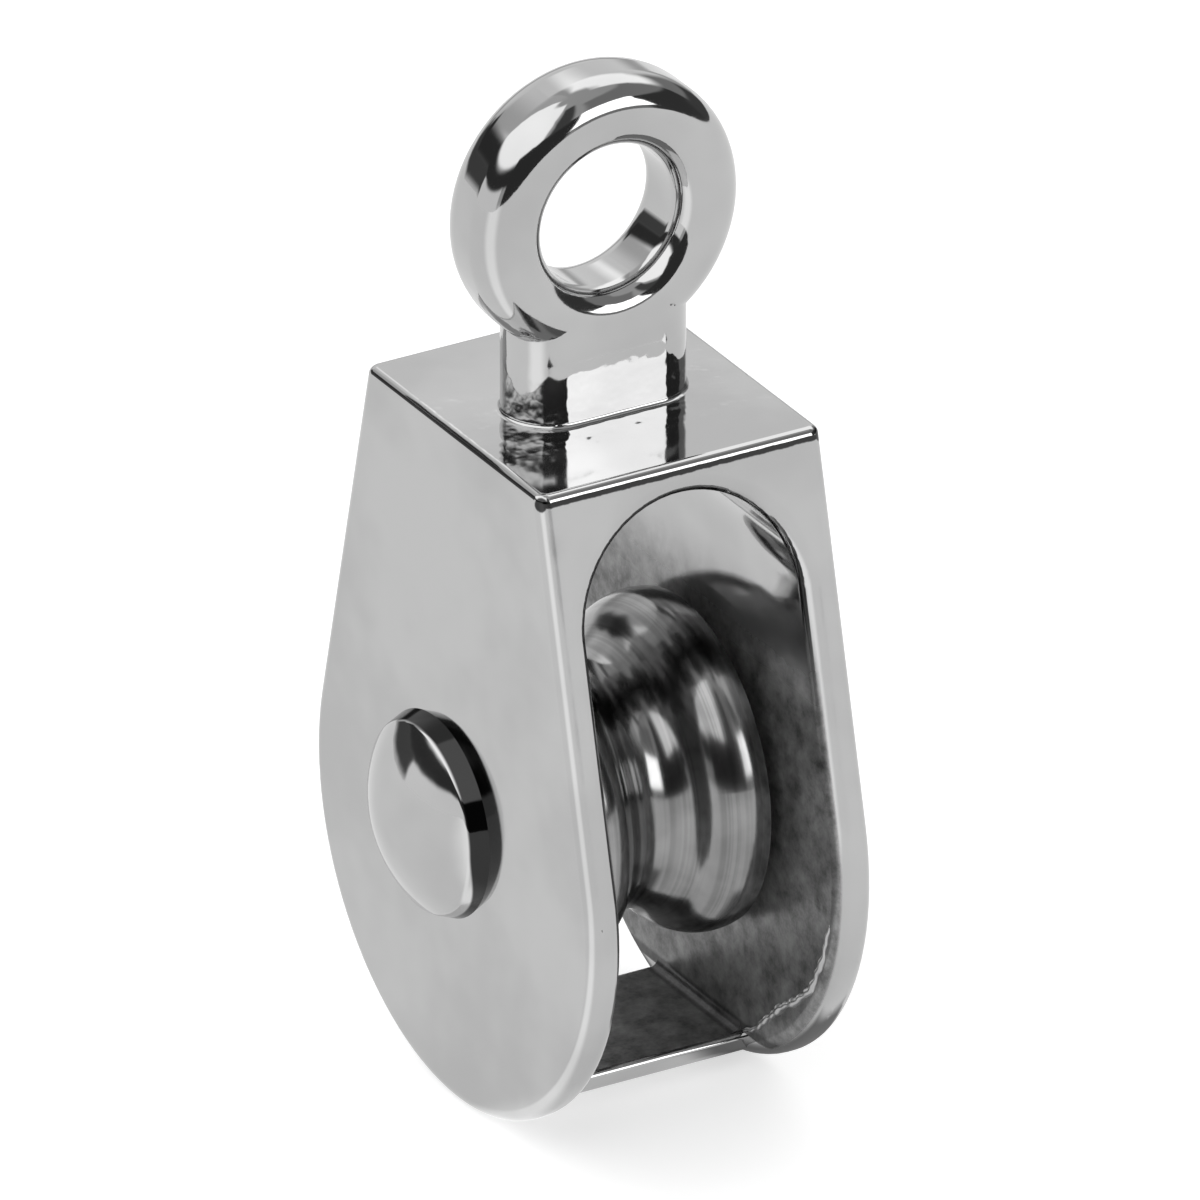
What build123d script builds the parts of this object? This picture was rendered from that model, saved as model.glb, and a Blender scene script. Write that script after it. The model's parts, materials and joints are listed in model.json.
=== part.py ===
"""Single sheave pulley block with a rigid eye, die cast and plated, about 58 mm tall.

The block hangs from its eye. The frame is one casting: two pear-shaped cheeks, the flat
top that joins them, a vaulted rope window right through, a thin web across the bottom and
the eye on its short stem. The sheave turns on a rivet that is set through both cheeks.

Frame: millimetres, +Z up, origin at the centre of the eye, eye hole along Y, axle along X.
"""
from build123d import *

import os
from math import asin, atan, degrees, sin

# ---- eye and stem -------------------------------------------------------------------
eye_hole_diameter = 8.1
eye_outer_diameter = 15.8
eye_thickness = 5.2
eye_edge_round = 1.9
eye_hole_round = 1.5
stem_width = 10.4
stem_height = 3.1            # from the top face to the lowest point of the eye
stem_foot_round = 0.25

# ---- frame casting ------------------------------------------------------------------
body_width = 17.0            # over the outer faces of the cheeks
cheek_thickness = 2.05
top_depth = 18.2             # top face, front to back
bulge_radius = 14.6          # round lower end of the cheeks
bulge_drop = 24.5            # from the top face to the centre of that round end
crown_thickness = 2.0        # metal left above the rope window
cheek_outer_round = 0.75
cheek_inner_round = 1.0
top_round = 0.5
web_thickness = 1.1
web_length = 9.3             # front to back
web_inset = 1.05             # underside of the web above the lowest point of the cheeks
web_lip_round = 0.35
web_corner_round = 0.6       # where the top of the web runs up into the cheeks

# ---- sheave -------------------------------------------------------------------------
sheave_diameter = 18.5
groove_root_diameter = 14.0
groove_radius = 2.6
crest_inset = 0.85           # highest point of a rim, in from its side
rim_clearance = 1.0          # each side of the sheave to its cheek
rim_corner_round = 0.25
hub_diameter = 8.0
bore_clearance = 0.05        # radial, sheave on axle
hub_clearance = 0.15         # each end of the hub to its cheek

# ---- axle rivet ---------------------------------------------------------------------
axle_diameter = 4.0
axle_rise = 2.1              # above the centre of the round end
hole_clearance = 0.02        # radial, rivet shank in the cheeks
head_diameter = 11.3         # on the cheek
head_shoulder_diameter = 10.5
head_wall = 1.0              # from the cheek up to the shoulder
head_height = 2.9
head_back = 1.7              # the head is formed off the shank's axis, back and down
head_drop = 0.6
tail_diameter = 7.6
tail_shoulder_diameter = 7.2
tail_wall = 0.4
tail_height = 1.0
shoulder_round = 0.2

# ---- places worked out from the sizes above -----------------------------------------
eye_radius = eye_outer_diameter / 2
eye_wall = eye_radius - eye_hole_diameter / 2
top_z = -eye_radius - stem_height
bulge_z = top_z - bulge_drop
bottom_z = bulge_z - bulge_radius
axle_z = bulge_z + axle_rise
half_width = body_width / 2
half_inner = half_width - cheek_thickness
vault_z = top_z - crown_thickness - half_inner       # where the vault springs
web_top = bottom_z + web_inset + web_thickness
right_through = 2 * bulge_radius + top_depth         # deeper than the block

# roundings, held back where a wall is too thin for them
inner_edge = min(cheek_inner_round, 0.53 * cheek_thickness, 0.62 * crown_thickness)
outer_edge = min(cheek_outer_round, 0.41 * cheek_thickness)
top_edge = min(top_round, 0.3 * crown_thickness)
eye_edge = min(eye_edge_round, 0.45 * eye_thickness, 0.5 * eye_wall)
hole_edge = min(eye_hole_round, 0.4 * eye_wall)
lip_edge = min(web_lip_round, 0.45 * web_thickness)

axle_line = Axis((0, 0, axle_z), (1, 0, 0))
axle_plane = Plane(origin=(0, 0, axle_z), x_dir=(1, 0, 0), z_dir=(0, -1, 0))

os.makedirs("parts", exist_ok=True)


# ---- block body: one casting --------------------------------------------------------
# blank of the eye: a ring's outer form with well rounded edges, joined and bored below
with BuildPart() as eye_blank:
    with BuildSketch(Plane.XZ):
        Circle(eye_radius)
    extrude(amount=eye_thickness / 2, both=True)
    fillet(eye_blank.edges(), eye_edge)

with BuildPart() as block_body:
    # pear outline of the cheeks: tangents from the top corners to the round end
    with BuildSketch(Plane.YZ):
        with BuildLine():
            Line((-top_depth / 2, top_z), (top_depth / 2, top_z))
            CenterArc((0, bulge_z), bulge_radius, 0, 360)
        make_hull()
    extrude(amount=half_width, both=True)
    cheek_faces = block_body.faces().sort_by(Axis.X)
    cheek_rims = ShapeList(cheek_faces[0].edges() + cheek_faces[-1].edges())
    fillet(cheek_rims.sort_by(Axis.Z)[:-2], outer_edge)
    fillet(block_body.faces().sort_by(Axis.Z)[-1].edges(), top_edge)

    # rope window: a vault under the top face, open below between the cheeks
    with BuildSketch(Plane.XZ):
        with Locations((0, vault_z)):
            Circle(half_inner)
            Rectangle(2 * half_inner, vault_z - bottom_z + half_inner, align=(Align.CENTER, Align.MAX))
    extrude(amount=right_through / 2, both=True, mode=Mode.SUBTRACT)
    window_rim = block_body.edges(Select.LAST).filter_by(Axis.Y, reverse=True)
    fillet(window_rim, inner_edge)

    # web that ties the cheeks below the sheave
    with BuildSketch(Plane.YZ) as web:
        with Locations((0, bottom_z + web_inset)):
            Rectangle(web_length, web_thickness, align=(Align.CENTER, Align.MIN))
        fillet(web.vertices(), lip_edge)
    extrude(amount=half_inner + inner_edge, both=True)
    with BuildSketch(Plane.XZ):
        with Locations((0, web_top + web_corner_round)):
            Rectangle(2 * half_inner, web_corner_round, align=(Align.CENTER, Align.MAX))
            SlotOverall(2 * half_inner, 2 * web_corner_round, mode=Mode.SUBTRACT)
    extrude(amount=web_length / 2 - lip_edge, both=True)

    # stem with round ends, from the top face up to the middle of the eye
    with BuildSketch(Plane.XY.offset(top_z)):
        SlotOverall(stem_width, eye_thickness)
    extrude(amount=-top_z)
    top_edges = block_body.edges().filter_by_position(Axis.Z, top_z, top_z)
    stem_foot = top_edges.filter_by_position(Axis.Y, -eye_thickness / 2, eye_thickness / 2)
    fillet(stem_foot.filter_by_position(Axis.X, -stem_width / 2, stem_width / 2), stem_foot_round)

    # the eye on top of the stem, bored right through
    add(eye_blank.part)
    with BuildSketch(Plane.XZ):
        Circle(eye_hole_diameter / 2)
    extrude(amount=eye_thickness, both=True, mode=Mode.SUBTRACT)
    fillet(block_body.edges(Select.LAST).filter_by(GeomType.CIRCLE), hole_edge)

    # rivet hole through both cheeks
    with BuildSketch(Plane.YZ):
        with Locations((0, axle_z)):
            Circle(axle_diameter / 2 + hole_clearance)
    extrude(amount=body_width, both=True, mode=Mode.SUBTRACT)


# ---- sheave: turned, one round groove between two round rims ------------------------
groove_depth = (sheave_diameter - groove_root_diameter) / 2
rim_half = half_inner - rim_clearance
crest_x = rim_half - crest_inset
turn = 2 * atan(groove_depth / crest_x)              # slope where groove and rim meet
crest_radius = crest_x / sin(turn) - groove_radius
crest_centre = sheave_diameter / 2 - crest_radius
fall = degrees(asin(crest_inset / crest_radius))
hub_half = half_inner - hub_clearance
bore_radius = axle_diameter / 2 + bore_clearance

with BuildPart() as sheave:
    with BuildSketch(axle_plane) as section:
        with BuildLine():
            slope = degrees(turn)
            root = (0, groove_root_diameter / 2 + groove_radius)
            CenterArc(root, groove_radius, 270 - slope, 2 * slope)
            right = CenterArc((crest_x, crest_centre), crest_radius, 90 + slope, -slope - fall)
            left = CenterArc((-crest_x, crest_centre), crest_radius, 90 - slope, slope + fall)
            Polyline(
                right @ 1,
                (rim_half, hub_diameter / 2),
                (hub_half, hub_diameter / 2),
                (hub_half, bore_radius),
                (-hub_half, bore_radius),
                (-hub_half, hub_diameter / 2),
                (-rim_half, hub_diameter / 2),
                left @ 1,
            )
        make_face()
        rim_corners = section.vertices().group_by(Axis.X)
        for corners in (rim_corners[1], rim_corners[-2]):
            fillet(corners.sort_by(Axis.Y)[-1], rim_corner_round)
    revolve(axis=axle_line)


# ---- axle rivet: domed head on the left cheek, a smaller one set on the right --------
with BuildPart() as axle_rivet:
    with BuildSketch(axle_plane):
        Rectangle(body_width, axle_diameter / 2, align=(Align.CENTER, Align.MIN))
    revolve(axis=axle_line)
    for side, back, drop, foot, shoulder, wall, height in (
        (-1, head_back, head_drop, head_diameter, head_shoulder_diameter, head_wall, head_height),
        (1, 0, 0, tail_diameter, tail_shoulder_diameter, tail_wall, tail_height),
    ):
        rise = height - wall
        dome_radius = (shoulder**2 / 4 + rise**2) / (2 * rise)
        middle = (0, back, axle_z - drop)
        shoulder_point = (half_width + wall, shoulder / 2)
        with BuildSketch(Plane(origin=middle, x_dir=(side, 0, 0), z_dir=(0, -1, 0))) as end:
            with BuildLine():
                Polyline(
                    (half_width + height, 0),
                    (half_width, 0),
                    (half_width, foot / 2),
                    shoulder_point,
                )
                RadiusArc(shoulder_point, (half_width + height, 0), dome_radius)
            make_face()
            fillet(end.vertices().sort_by(Axis.Y)[-2], shoulder_round)
        revolve(axis=Axis(middle, (side, 0, 0)))

for name, piece in (("block_body", block_body), ("sheave", sheave), ("axle_rivet", axle_rivet)):
    piece.part.label = name
    export_step(piece.part, f"parts/{name}.step")
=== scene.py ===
import json
import math

import bmesh
import bpy
from mathutils import Matrix, Vector


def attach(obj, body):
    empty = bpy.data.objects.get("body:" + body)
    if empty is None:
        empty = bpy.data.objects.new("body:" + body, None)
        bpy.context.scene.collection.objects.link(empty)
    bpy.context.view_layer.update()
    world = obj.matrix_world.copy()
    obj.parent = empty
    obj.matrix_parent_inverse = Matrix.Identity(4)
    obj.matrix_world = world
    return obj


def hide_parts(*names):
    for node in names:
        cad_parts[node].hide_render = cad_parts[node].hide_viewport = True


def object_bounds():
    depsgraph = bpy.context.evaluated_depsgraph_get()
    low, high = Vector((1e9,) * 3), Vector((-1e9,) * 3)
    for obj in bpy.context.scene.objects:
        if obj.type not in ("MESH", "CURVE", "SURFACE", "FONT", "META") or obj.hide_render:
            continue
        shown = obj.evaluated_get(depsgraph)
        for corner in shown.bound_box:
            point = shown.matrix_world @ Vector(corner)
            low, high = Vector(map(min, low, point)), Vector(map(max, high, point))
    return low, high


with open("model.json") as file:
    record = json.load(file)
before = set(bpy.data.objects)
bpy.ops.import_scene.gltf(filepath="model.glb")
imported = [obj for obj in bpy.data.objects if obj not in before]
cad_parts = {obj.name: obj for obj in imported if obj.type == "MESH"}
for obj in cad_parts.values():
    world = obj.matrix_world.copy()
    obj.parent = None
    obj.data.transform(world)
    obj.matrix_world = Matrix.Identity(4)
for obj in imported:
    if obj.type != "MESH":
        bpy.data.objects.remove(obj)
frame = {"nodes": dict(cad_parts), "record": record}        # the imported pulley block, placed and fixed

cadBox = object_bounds()
mm = 0.001
axleZ = frame["record"]["behaviour"]["joints"][0]["pos_m"][2]


class Wire:              # a socket that takes plain arithmetic
    def __init__(self, build, socket):
        self.build, self.socket = build, socket

    def __add__(self, other): return self.build.maths("ADD", self, other)
    def __radd__(self, other): return self.build.maths("ADD", other, self)
    def __sub__(self, other): return self.build.maths("SUBTRACT", self, other)
    def __rsub__(self, other): return self.build.maths("SUBTRACT", other, self)
    def __mul__(self, other): return self.build.maths("MULTIPLY", self, other)
    def __rmul__(self, other): return self.build.maths("MULTIPLY", other, self)
    def __pow__(self, other): return self.build.maths("POWER", self, other)

    def out(self, name):
        return Wire(self.build, self.socket.node.outputs[name])


class Build:             # one node tree, filled from Python expressions
    def __init__(self, tree):
        self.tree = tree

    def node(self, kind, settings=None, inputs=None):
        made = self.tree.nodes.new("ShaderNode" + kind)
        for name, value in (settings or {}).items():
            setattr(made, name, value)
        for name, value in (inputs or {}).items():
            self.feed(made.inputs[name], value)
        return Wire(self, made.outputs[0])

    def feed(self, socket, value):
        if isinstance(value, Wire):
            self.tree.links.new(value.socket, socket)
        else:
            socket.default_value = value

    def maths(self, operation, *values):
        return self.node("Math", {"operation": operation}, dict(enumerate(values)))

    def place(self, kind="Object"):          # a point's X, Y and Z
        point = self.node("SeparateXYZ", None, {"Vector": self.node("TexCoord").out(kind)})
        return point.out("X"), point.out("Y"), point.out("Z")

    def point(self, x, y, z):
        return self.node("CombineXYZ", None, {0: x, 1: y, 2: z})

    def step(self, value, low, high):        # 0 at low, 1 at high, smooth between, either way round
        return self.node("MapRange", {"interpolation_type": "SMOOTHSTEP"},
                         {"Value": value, "From Min": low, "From Max": high})

    def band(self, value, start, end, soft):     # 1 from start to end, over soft ends
        half = soft / 2
        return self.step(value, start - half, start + half) * self.step(value, end + half, end - half)

    def bearing(self, x, y):                 # degrees round from the front
        return self.maths("ARCTAN2", x, 0.0 - y) * math.degrees(1)

    def noise(self, grain, point=None):      # grain is scale, detail and roughness
        if point is None:
            point = self.node("TexCoord").out("Object")
        scale, detail, roughness = grain
        return self.node("TexNoise", None, {"Vector": point, "Scale": scale, "Detail": detail,
                                            "Roughness": roughness})

    def shade(self, level):                  # the grey of a surface, kept between black and white
        mix = self.node("Mix", {"data_type": "RGBA"}, {0: level}).socket.node
        mix.inputs[6].default_value = (0, 0, 0, 1)
        mix.inputs[7].default_value = (1, 1, 1, 1)
        return Wire(self, mix.outputs[2])

    def light(self, level):                  # the grey of a light, which may pass white
        return self.node("CombineColor", None, {0: level, 1: level, 2: level})

    def bump(self, height, distance):
        return self.node("Bump", None, {"Height": height, "Distance": distance})


def newMaterial(name, **fixed):
    made = bpy.data.materials.new(name)
    made.use_nodes = True
    surface = made.node_tree.nodes["Principled BSDF"]
    for key, value in fixed.items():
        surface.inputs[key.replace("_", " ")].default_value = value
    return made, Build(made.node_tree), surface


def newMesh(name, bm):                   # ends a bmesh, with its faces smooth
    mesh = bpy.data.meshes.new(name)
    for face in bm.faces:
        face.smooth = True
    bm.to_mesh(mesh)
    bm.free()
    return mesh


def newPiece(name, mesh):
    piece = bpy.data.objects.new(name, mesh)
    bpy.context.scene.collection.objects.link(piece)
    return piece


# bright plate on a smooth casting, its polish a little cloudy
platedLook = {"bright": 0.53, "cloudy": 0.47, "clouds": (90, 3.0, 0.6), "cloudEdge": (0.35, 0.65),
              "roughness": 0.06, "smudge": 0.10, "smudgeEdge": (0.5, 0.75),
              "ripples": (260, 2.0, 0.5), "rippleHeight": 0.010 * mm}


def makePlated(name, look, *changes):    # each change alters the finish in one place
    made, build, surface = newMaterial(name)
    cloud = build.noise(look["clouds"])
    finish = {
        "tone": look["cloudy"] + (look["bright"] - look["cloudy"]) * build.step(cloud, *look["cloudEdge"]),
        "rough": look["roughness"] + look["smudge"] * build.step(cloud, *look["smudgeEdge"]),
        "metal": 1.0,
        "height": build.noise(look["ripples"]),
    }
    for change in changes:
        change(build, finish)
    build.feed(surface.inputs["Base Color"], build.shade(finish["tone"]))
    build.feed(surface.inputs["Roughness"], finish["rough"])
    build.feed(surface.inputs["Metallic"], finish["metal"])
    build.feed(surface.inputs["Normal"], build.bump(finish["height"], look["rippleHeight"]))
    return made


# inside the rope window the plate is thin, dull and mottled, and its tone is painted darker as painted shade in
# the recess, down to the web, but not on the web's lips; a painted shadow darkens the corner where the web meets
# each cheek
insideShadeLook = {"halfWidth": 6.62 * mm, "sideFade": 0.15 * mm, "top": -20 * mm, "low": -27 * mm,
              "tone": 0.22, "mottle": 0.7, "mottles": (600, 4.0, 0.75), "darkest": 0.04,
              "roughness": 0.30, "metal": 0.5, "web": -47.95 * mm, "lip": 4.45 * mm, "lipFade": 0.1 * mm,
              "cornerShade": 0.6, "cornerUp": (0.75 * mm, 0.5 * mm), "cornerIn": (1.0 * mm, 0.7 * mm)}


def dullShadedInside(build, finish):
    look = insideShadeLook
    x, y, z = build.place()
    across, beside = build.maths("ABSOLUTE", x), build.maths("ABSOLUTE", y)
    within = build.step(across, look["halfWidth"] + look["sideFade"], look["halfWidth"])
    within = within * build.step(z, look["top"], look["low"])
    lip = build.step(z, look["web"] + look["lipFade"], look["web"])
    within = within * (1.0 - lip * build.step(beside, look["lip"] - look["lipFade"], look["lip"]))
    # painted shadow: the corner strip where the web meets each cheek is darkened
    corner = build.step(z, *(look["web"] + up for up in look["cornerUp"]))
    corner = corner * build.step(across, *(look["halfWidth"] - inward for inward in look["cornerIn"]))
    # painted shade: the plate in the window gets a darker, mottled tone than outside
    dull = look["tone"] + look["mottle"] * (build.noise(look["mottles"]) - 0.5)
    dull = build.maths("MAXIMUM", dull, look["darkest"]) * (1.0 - look["cornerShade"] * corner)
    finish["tone"] = finish["tone"] + within * (dull - finish["tone"])
    finish["rough"] = finish["rough"] + within * (look["roughness"] - finish["rough"])
    finish["metal"] = 1.0 + within * (look["metal"] - 1.0)


# a ragged painted dark reflection runs along the top's front edge, and ends in a painted dark spot at each corner
edgeReflectionLook = {"low": -11.66 * mm, "lowFade": 0.08 * mm, "high": -11.37 * mm, "highFade": 0.06 * mm,
            "front": -8.7 * mm, "fade": 0.1 * mm, "ragged": 0.18 * mm, "rags": (1200, 3.0, 0.7),
            "corner": (8.45 * mm, -9.05 * mm, -11.4 * mm), "cornerSize": 0.5 * mm, "tone": 0.05}


def paintedEdgeReflection(build, finish):
    look = edgeReflectionLook
    x, y, z = build.place()
    wander = look["ragged"] * (build.noise(look["rags"]) - 0.5)
    height = z + wander
    line = build.step(height, look["low"], look["low"] + look["lowFade"])
    line = line * build.step(height, look["high"] + look["highFade"], look["high"])
    line = line * build.step(y, look["front"] + look["fade"], look["front"])
    folded = build.point(build.maths("ABSOLUTE", x), y, z)
    reach = build.node("VectorMath", {"operation": "DISTANCE"}, {0: folded, 1: look["corner"]}).out("Value")
    spot = build.step(reach + wander, look["cornerSize"], look["cornerSize"] - look["fade"])
    # painted reflection: the dark line and corner spots are painted into the plate's tone
    finish["tone"] = finish["tone"] + build.maths("MAXIMUM", line, spot) * (look["tone"] - finish["tone"])


# the stem is less well polished, and so is the top just before and behind it
stemLook = {"low": -11.15 * mm, "lowFade": 0.1 * mm, "high": -7.4 * mm, "highFade": 1 * mm,
            "front": 6.0 * mm, "frontFade": 2.5 * mm, "strength": 6.0, "bumps": (650, 2.0, 0.5)}


def roughStem(build, finish):
    look = stemLook
    x, y, z = build.place()
    on = build.step(z, look["low"], look["low"] + look["lowFade"])
    on = on * build.step(z, look["high"], look["high"] - look["highFade"])
    on = on * build.step(build.maths("ABSOLUTE", y), look["front"], look["front"] - look["frontFade"])
    finish["height"] = finish["height"] + look["strength"] * on * build.noise(look["bumps"])


# at the foot of both rivet heads the plate is painted dark as a painted shadow in the crevice, in a band that is
# wider up the larger head, where it also stands for a painted dark reflection
seatShadowLook = {"light": -9.0 * mm, "dark": -8.85 * mm, "wider": 0.55 * mm, "widerLow": -4.5 * mm,
            "widerHigh": -0.5 * mm, "tailLight": 8.8 * mm, "tailDark": 8.65 * mm, "tone": 0.04}


def paintedSeatShadow(build, finish):
    look = seatShadowLook
    x, y, z = build.place()
    upper = build.step(z, axleZ + look["widerLow"], axleZ + look["widerHigh"])
    seat = build.step(x + look["wider"] * upper, look["light"], look["dark"])
    seat = seat * build.step(x, look["tailLight"], look["tailDark"])
    # painted shadow: the crevice under each head is darkened in the tone
    finish["tone"] = finish["tone"] + seat * (look["tone"] - finish["tone"])


# turned sheave: plate over fine turning marks that run round the groove
turnedLook = {"tone": 0.34, "dark": 0.19, "streaks": (2200, 2.0, 0.6), "streakEdge": (0.38, 0.62),
              "patches": (300, 3.0, 0.5), "patchEdge": (0.35, 0.65), "patchShare": 0.5,
              "roughness": 0.16, "roughSpread": 0.1, "marks": (1500, 3.0, 0.7), "markHeight": 0.003 * mm}


def makeTurned(look):
    made, build, surface = newMaterial("turnedPlate", Metallic=1.0)
    x, y, z = build.place()
    up = z - axleZ
    ring = build.point(x, (y * y + up * up) ** 0.5, 0.0)
    fine = build.noise(look["marks"], ring)
    streak = build.step(build.noise(look["streaks"], ring), *look["streakEdge"])
    patch = build.step(build.noise(look["patches"]), *look["patchEdge"])
    mixed = look["patchShare"] * patch + (1 - look["patchShare"]) * streak
    tone = look["dark"] + (look["tone"] - look["dark"]) * mixed
    build.feed(surface.inputs["Base Color"], build.shade(tone))
    build.feed(surface.inputs["Roughness"], look["roughness"] + look["roughSpread"] * (fine - 0.5))
    build.feed(surface.inputs["Normal"], build.bump(fine, look["markHeight"]))
    return made


rivetLook = {**platedLook, "rippleHeight": 0.022 * mm, "ripples": (430, 2.0, 0.5)}
solids = {
    "block_body": {"body": "frame", "piece": "castBody", "slot": "plated_casting",
                   "finish": makePlated("platedCasting", platedLook, dullShadedInside, paintedEdgeReflection, roughStem)},
    "sheave": {"body": "sheave", "piece": "turnedSheave", "slot": "turned_sheave",
               "finish": makeTurned(turnedLook)},
    "axle_rivet": {"body": "frame", "piece": "setRivet", "slot": "plated_rivet",
                   "finish": makePlated("platedRivet", rivetLook, paintedSeatShadow)},
}
print("materials done")

joining = {"weld": 0.002 * mm, "sliver": 0.003 * mm, "crease": 50}


def merged(name, node):                  # the solid again, joined so that reflections run on over its facets
    mesh = frame["nodes"][node].data.copy()
    mesh.name = name
    bm = bmesh.new()
    bm.from_mesh(mesh)
    bmesh.ops.remove_doubles(bm, verts=bm.verts, dist=joining["weld"])
    bmesh.ops.dissolve_degenerate(bm, edges=bm.edges, dist=joining["sliver"])
    for part in [*bm.faces, *bm.edges]:
        part.smooth = True
    bm.to_mesh(mesh)
    bm.free()
    mesh.attributes.remove(mesh.attributes["custom_normal"])
    mesh.set_sharp_from_angle(angle=math.radians(joining["crease"]))
    piece = newPiece(name, mesh)
    even = piece.modifiers.new("even", "WEIGHTED_NORMAL")
    even.keep_sharp = True
    return piece


# the rivet's two formed heads stand on its shank, the larger one off centre
rivet = {"halfWidth": 8.5 * mm, "shank": 2.0 * mm, "sink": 0.01 * mm, "segments": 160, "arcSteps": 14,
         "roundSteps": 6, "weld": 0.001 * mm, "crease": 50}
ends = [
    {"side": -1, "back": 1.7 * mm, "drop": 0.6 * mm, "foot": 5.65 * mm, "shoulder": 5.25 * mm,
     "wall": 1.0 * mm, "height": 2.9 * mm, "round": 0.5 * mm},
    {"side": 1, "back": 0.0, "drop": 0.0, "foot": 3.8 * mm, "shoulder": 3.6 * mm,
     "wall": 0.4 * mm, "height": 1.0 * mm, "round": 0.15 * mm},
]


def turned(bm, centre, profile):         # (along X, radius) points, spun round a line along X
    ring = [bm.verts.new((centre[0] + along, centre[1], centre[2] + radius)) for along, radius in profile]
    edges = [bm.edges.new(pair) for pair in zip(ring, ring[1:])]
    bmesh.ops.spin(bm, geom=[*ring, *edges], cent=centre, axis=(1, 0, 0), angle=math.tau,
                   steps=rivet["segments"], use_merge=True)


def headProfile(end):                    # foot, leaning wall, small round, low dome
    rise = end["height"] - end["wall"]
    domeRadius = (end["shoulder"] ** 2 + rise ** 2) / (2 * rise)
    middle = end["height"] - domeRadius
    lean = math.atan2(end["foot"] - end["shoulder"], end["wall"])
    spread = math.asin(end["shoulder"] / domeRadius)
    turnAngle = math.pi / 2 - spread - lean
    inset = end["round"] * math.tan(turnAngle / 2)
    hubAlong = end["wall"] - inset * math.cos(lean) - end["round"] * math.sin(lean)
    hubRadius = end["shoulder"] + inset * math.sin(lean) - end["round"] * math.cos(lean)
    profile = [(0, 0), (0, end["foot"])]
    for k in range(rivet["roundSteps"] + 1):
        angle = math.pi / 2 - lean - turnAngle * k / rivet["roundSteps"]
        profile.append((hubAlong + end["round"] * math.cos(angle),
                        hubRadius + end["round"] * math.sin(angle)))
    for k in range(1, rivet["arcSteps"]):
        angle = spread * (1 - k / rivet["arcSteps"])
        profile.append((middle + domeRadius * math.cos(angle), domeRadius * math.sin(angle)))
    return [*profile, (end["height"], 0)]


def setRivet(name):
    bm = bmesh.new()
    half = rivet["halfWidth"] - rivet["sink"]
    turned(bm, (0, 0, axleZ), [(-half, 0), (-half, rivet["shank"]), (half, rivet["shank"]), (half, 0)])
    for end in ends:
        side = end["side"]
        centre = (side * rivet["halfWidth"], end["back"], axleZ - end["drop"])
        turned(bm, centre, [(side * along, radius) for along, radius in headProfile(end)])
    bmesh.ops.remove_doubles(bm, verts=bm.verts, dist=rivet["weld"])
    bmesh.ops.recalc_face_normals(bm, faces=bm.faces)
    mesh = newMesh(name, bm)
    mesh.set_sharp_from_angle(angle=math.radians(rivet["crease"]))
    return newPiece(name, mesh)


for node, look in solids.items():
    piece = setRivet(look["piece"]) if node == "axle_rivet" else merged(look["piece"], node)
    for data in (piece.data, frame["nodes"][node].data):
        data.materials.clear()
        data.materials.append(look["finish"])
    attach(piece, look["body"])
    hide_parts(node)
print("solids done")

# flash left by the mould where the right cheek's inner face meets its rim: a wavering bead that
# runs up the front of the rim, in degrees from straight down
flash = {"x": 6.41 * mm, "centreZ": -35.5 * mm, "start": 20, "end": 81, "radius": 13.1 * mm,
         "rise": 0.55 * mm, "dip": 0.75 * mm, "dipEnd": 1.4, "waver": 0.07 * mm, "waves": (31, 67),
         "thick": 0.21 * mm, "thinnest": 0.01 * mm, "taper": 0.4, "lumps": ((0.22, 41), (0.12, 93)),
         "steps": 90, "sides": 8, "roughness": 0.30}


def cheekFlash(name):
    bm = bmesh.new()
    rings = []
    for k in range(flash["steps"] + 1):
        part = k / flash["steps"]
        angle = math.radians(flash["start"] + (flash["end"] - flash["start"]) * part)
        sag = flash["dip"] * math.sin(math.pi * min(flash["dipEnd"] * part, 1.0)) ** 2
        slow, quick = flash["waves"]
        waver = flash["waver"] * math.sin(slow * part) * math.cos(quick * part)
        reach = flash["radius"] + flash["rise"] * part - sag + waver
        lumps = 1 + sum(size * math.sin(rate * part) for size, rate in flash["lumps"])
        thick = max(flash["thick"] * math.sin(math.pi * part) ** flash["taper"] * lumps, flash["thinnest"])
        ring = bmesh.ops.create_circle(bm, segments=flash["sides"], radius=thick)["verts"]
        place = Vector((flash["x"], -reach * math.sin(angle), flash["centreZ"] - reach * math.cos(angle)))
        turn = Matrix.Rotation(-angle, 4, "X") @ Matrix.Rotation(math.pi / 2, 4, "X")
        bmesh.ops.transform(bm, verts=ring, matrix=Matrix.Translation(place) @ turn)
        rings.append(ring)
    for first, second in zip(rings, rings[1:]):
        for k in range(flash["sides"]):
            bm.faces.new((first[k], first[k - 1], second[k - 1], second[k]))
    bm.faces.new(rings[0])
    bm.faces.new(rings[-1])
    bmesh.ops.recalc_face_normals(bm, faces=bm.faces)
    return newPiece(name, newMesh(name, bm))


bead = cheekFlash("cheekFlash")
bead.data.materials.append(makePlated("platedFlash", {**platedLook, "roughness": flash["roughness"]}))
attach(bead, "frame")
print("flash done")

# pale floor: white round the block, darker in mirrors, with a painted shadow beside the right cheek and a painted
# pool of light front left, both seen only in mirrors
floorLook = {"size": 3.0, "tone": 0.65, "lift": 0.60, "mirroredTone": 0.25, "mirroredLift": 0.70,
             "darkTone": 0.12, "darkLift": 0.2, "darkX": 9 * mm, "darkY": 8 * mm,
             "near": 2.5 * mm, "far": 5 * mm,        # how far past that the painted shadow fades
             "fanFrom": -76, "fanTo": -46, "fanSoft": 18, "fan": 0.38}     # a painted pool of light, a brighter fan front left, in degrees


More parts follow.
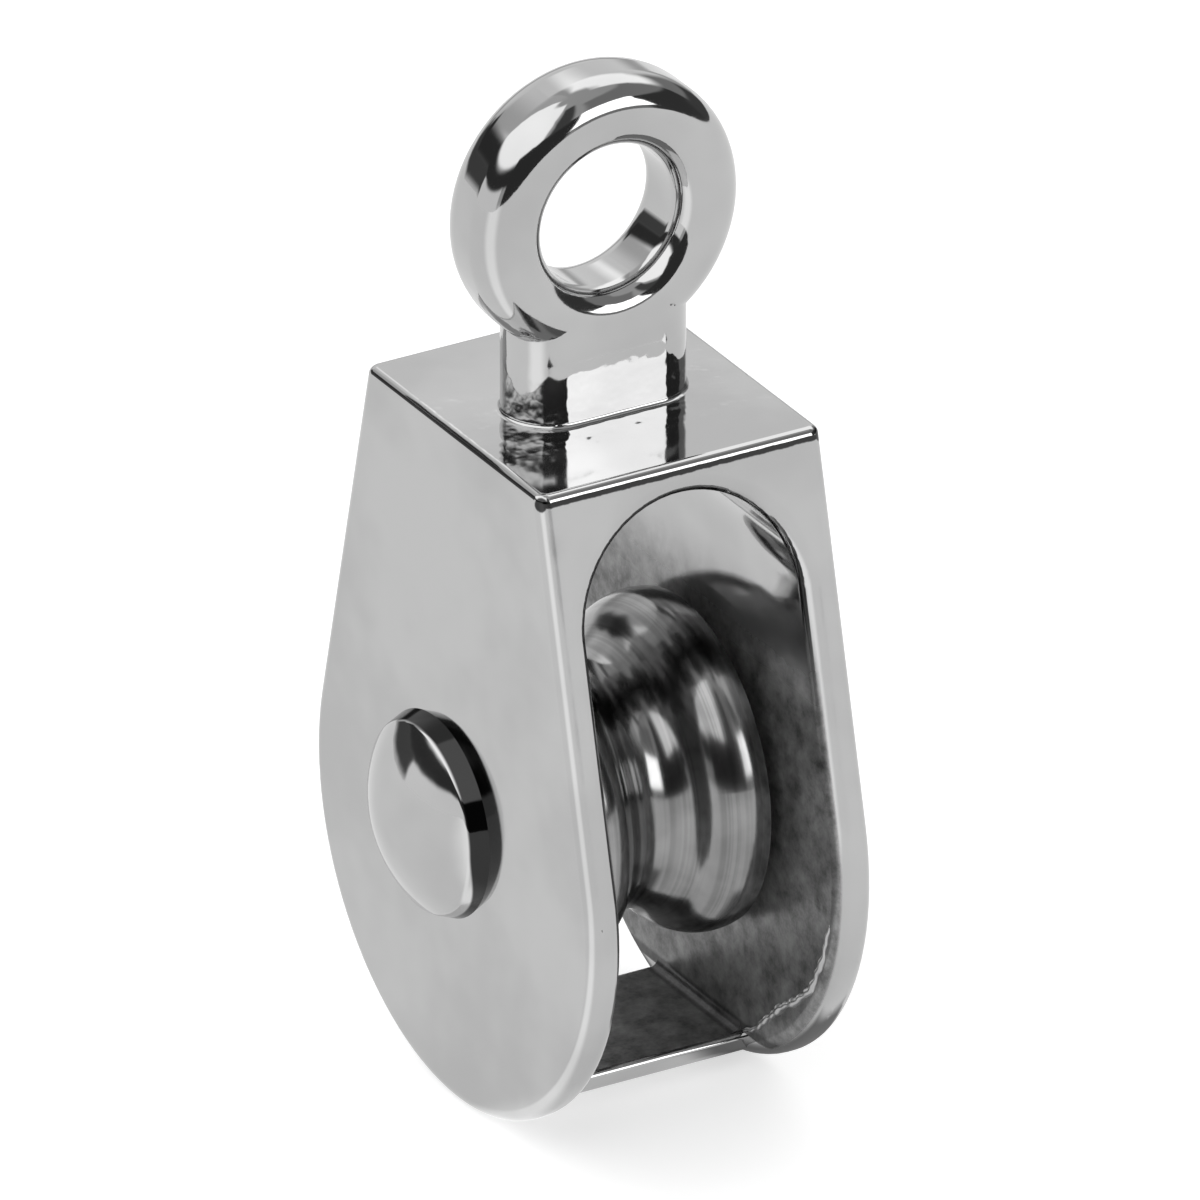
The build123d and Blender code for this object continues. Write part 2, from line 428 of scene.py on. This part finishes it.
def makeFloorPaint(look):
    made, build, surface = newMaterial("floorPaint", Roughness=1.0, Emission_Strength=1.0)
    cameraRay = build.node("LightPath").out("Is Camera Ray")
    x, y, z = build.place()
    apart = build.maths("MAXIMUM", build.maths("ABSOLUTE", x - look["darkX"]),
                        build.maths("ABSOLUTE", y) - look["darkY"])
    # painted shadow: the floor seen in mirrors darkens beside the right cheek
    clear = build.step(apart, look["near"], look["far"])
    # painted light: a brighter fan on the floor, seen only in mirrors
    fan = build.band(build.bearing(x, y), look["fanFrom"], look["fanTo"], look["fanSoft"])
    tone = look["darkTone"] + clear * (look["mirroredTone"] - look["darkTone"])
    lift = look["darkLift"] + (1.0 - look["darkLift"]) * clear
    lift = lift * (look["mirroredLift"] + look["fan"] * fan)
    build.feed(surface.inputs["Base Color"], build.shade(tone + cameraRay * (look["tone"] - tone)))
    build.feed(surface.inputs["Emission Color"], build.light(lift + cameraRay * (look["lift"] - lift)))
    return made


bm = bmesh.new()
bmesh.ops.create_grid(bm, x_segments=1, y_segments=1, size=floorLook["size"])
floor = newPiece("studioFloor", newMesh("studioFloor", bm))
floor.location.z = cadBox[0][2]
floor.data.materials.append(makeFloorPaint(floorLook))

# what stands round the table: soft boxes, and dark room between them, in degrees round and up,
# each one covering those before it
room = {"above": 0.5, "below": 0.95, "horizon": (-3, 3)}
panels = [
    {"round": (-200, -140), "up": (20, 80), "level": 0.60, "soft": 24},
    {"round": (128, 200), "up": (10, 44), "level": 0.95, "soft": 10},
    {"round": (-200, -168), "up": (10, 44), "level": 0.95, "soft": 20},
    {"round": (-150, -18), "up": (28, 80), "level": 1.6, "soft": 5},
    {"round": (14, 122), "up": (-2, 58), "level": 0.27, "soft": 6},
    {"round": (90, 168), "up": (34, 72), "level": 1.7, "soft": 12},
    {"round": (-165, -45), "up": (12, 26), "level": 0.04, "soft": 5},
    {"round": (-172, -131), "up": (2, 14), "level": 0.08, "soft": 4},
    {"round": (-130, -58), "up": (-4, 12), "level": 1.0, "soft": 3},
    {"round": (-48, 12), "up": (-2, 31), "level": 0.04, "soft": 3},
    {"round": (-12, 5), "up": (28, 66), "level": 0.08, "soft": 5},
    {"round": (38, 88), "up": (-6, 30), "level": 0.05, "soft": 4},
    {"round": (80, 118), "up": (-6, 14), "level": 0.07, "soft": 5},
    {"round": (11, 42), "up": (7, 33), "level": 3.4, "soft": 2},
]
world = bpy.data.worlds.new("studioWorld")
bpy.context.scene.world = world
world.use_nodes = True
build = Build(world.node_tree)
x, y, z = build.place("Generated")
around = build.bearing(x, y)
upward = build.maths("ARCSINE", z) * math.degrees(1)
level = build.step(upward, *room["horizon"]) * (room["above"] - room["below"]) + room["below"]
for panel in panels:
    mask = build.band(around, *panel["round"], panel["soft"])
    mask = mask * build.band(upward, *panel["up"], panel["soft"])
    level = level + mask * (panel["level"] - level)
cameraRay = build.node("LightPath").out("Is Camera Ray")      # the camera itself sees plain white
backdrop = world.node_tree.nodes["Background"]
build.feed(backdrop.inputs["Color"], build.light(level + cameraRay * (1.0 - level)))
print("studio done")

# the camera looks down on the left cheek and the open front
lens = {"azimuth": -30.07, "elevation": 26.72, "distance": 2080 * mm, "focal": 1200, "sensor": 36,
        "clipEnd": 50, "aim": (-2.09 * mm, -4.33 * mm, -20.52 * mm)}
camera = newPiece("camera", bpy.data.cameras.new("camera"))
camera.data.lens = lens["focal"]
camera.data.sensor_width = lens["sensor"]
camera.data.clip_end = lens["clipEnd"]
azimuth, elevation = math.radians(lens["azimuth"]), math.radians(lens["elevation"])
sideways = math.cos(elevation)
away = Vector((math.sin(azimuth) * sideways, -math.cos(azimuth) * sideways, math.sin(elevation)))
turn = away.to_track_quat("Z", "Y").to_matrix().to_4x4()
camera.matrix_world = Matrix.Translation(Vector(lens["aim"]) + away * lens["distance"]) @ turn
bpy.context.scene.camera = camera
bpy.context.scene.view_settings.view_transform = "Standard"
print("camera done")
